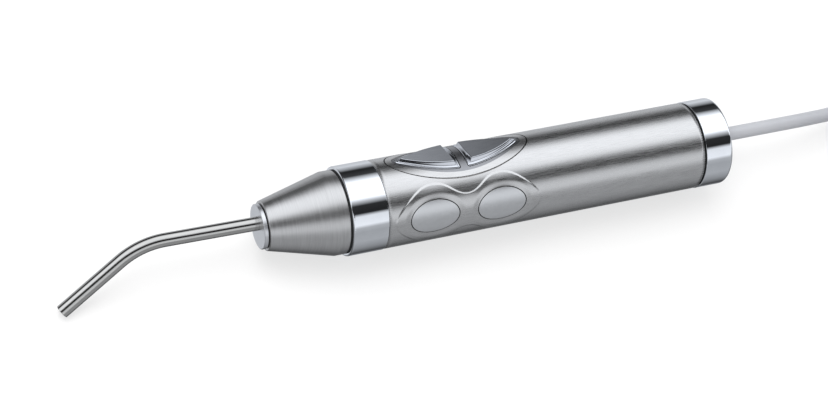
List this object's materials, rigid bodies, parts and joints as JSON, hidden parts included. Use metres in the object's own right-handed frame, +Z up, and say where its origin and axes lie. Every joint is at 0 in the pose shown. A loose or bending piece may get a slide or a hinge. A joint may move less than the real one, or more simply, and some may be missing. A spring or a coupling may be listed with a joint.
{
  "type": "intraoral camera",
  "caption": "Round satin handpiece with thumb buttons, finger rests and chrome collars, a bent steel viewing probe in front, and a grey cord tied in a flat hank behind, with its plug.",
  "frame": {"origin": "on the table, under the middle of the handpiece's length from probe tip to cord gland", "axes": "+X along the handpiece towards the cord, probe towards -X, +Z up from the table it lies on; the buttons face up and back, towards +Y and +Z"},
  "size_m": [0.3453, 0.0407, 0.0242],
  "materials": {
    "satin_steel": "satin, fine grain along the axis",
    "turned_steel": "satin, turned round the axis",
    "bezel_grey": "darker satin",
    "pad_metal": "smooth satin",
    "hub_metal": "fine matt",
    "bright_chrome": "mirror polish",
    "probe_steel": "polished stainless steel",
    "inner_steel": "plain turned",
    "plug_metal": "bright nickel",
    "heat_sink_metal": "plain",
    "black_seal": "matt black",
    "grey_rubber": "soft matt",
    "cord_jacket": "smooth matt grey jacket",
    "plug_plastic": "matt grey",
    "white_plastic": "moulded",
    "black_plastic": "moulded",
    "board_green": "solder mask",
    "ribbon_amber": "thin film",
    "clear_glass": "coated",
    "light_guide": "polished fibre ends"
  },
  "bodies": {
    "handpiece": {"board_screws": "inner_steel", "body_shell": "satin_steel", "button_bezel": "bezel_grey", "button_membrane": "grey_rubber", "control_panel": "satin_steel", "cord_connector": "white_plastic", "cord_gland": "grey_rubber", "cord_hank": "cord_jacket", "cord_tail": "cord_jacket", "cord_tie": "grey_rubber", "cord_tube": "cord_jacket", "cord_wires": "cord_jacket", "finger_pad_far_front": "pad_metal", "finger_pad_far_rear": "pad_metal", "finger_pad_near_front": "pad_metal", "finger_pad_near_rear": "pad_metal", "front_ring": "bright_chrome", "front_seal": "black_seal", "front_sleeve": "inner_steel", "front_switch": "black_plastic", "heat_sink": "heat_sink_metal", "hub_nut": "inner_steel", "hub_seal": "black_seal", "image_processor": "black_plastic", "image_sensor": "black_plastic", "inductor": "black_plastic", "inner_frame": "black_plastic", "lamp_led": "white_plastic", "lead_connector": "white_plastic", "lens_barrel": "black_plastic", "light_fibre": "light_guide", "light_ring": "light_guide", "main_board": "board_green", "memory_chip": "black_plastic", "nose_cone": "turned_steel", "objective_lens": "clear_glass", "plug_boot": "plug_plastic", "plug_grip": "plug_plastic", "plug_shell": "plug_metal", "plug_tongue": "white_plastic", "power_chip": "black_plastic", "probe_hub": "hub_metal", "probe_tube": "probe_steel", "rear_cap": "bright_chrome", "rear_seal": "black_seal", "rear_switch": "black_plastic", "sensor_lead": "cord_jacket", "switch_board": "board_green", "switch_ribbon": "ribbon_amber", "switch_screws": "inner_steel", "tip_window": "clear_glass", "usb_chip": "black_plastic"},
    "front_key": {"front_button": "bright_chrome", "front_plunger": "black_plastic"},
    "rear_key": {"rear_button": "bright_chrome", "rear_plunger": "black_plastic"}
  },
  "joints": [
    {"name": "front_button_press", "type": "slide", "parent": "handpiece", "child": "front_key", "axis": [0, -0.672, -0.7406], "range_m": [0, 0.0006], "stiffness_N_per_m": 1200},
    {"name": "rear_button_press", "type": "slide", "parent": "handpiece", "child": "rear_key", "axis": [0, -0.672, -0.7406], "range_m": [0, 0.0006], "stiffness_N_per_m": 1200}
  ]
}
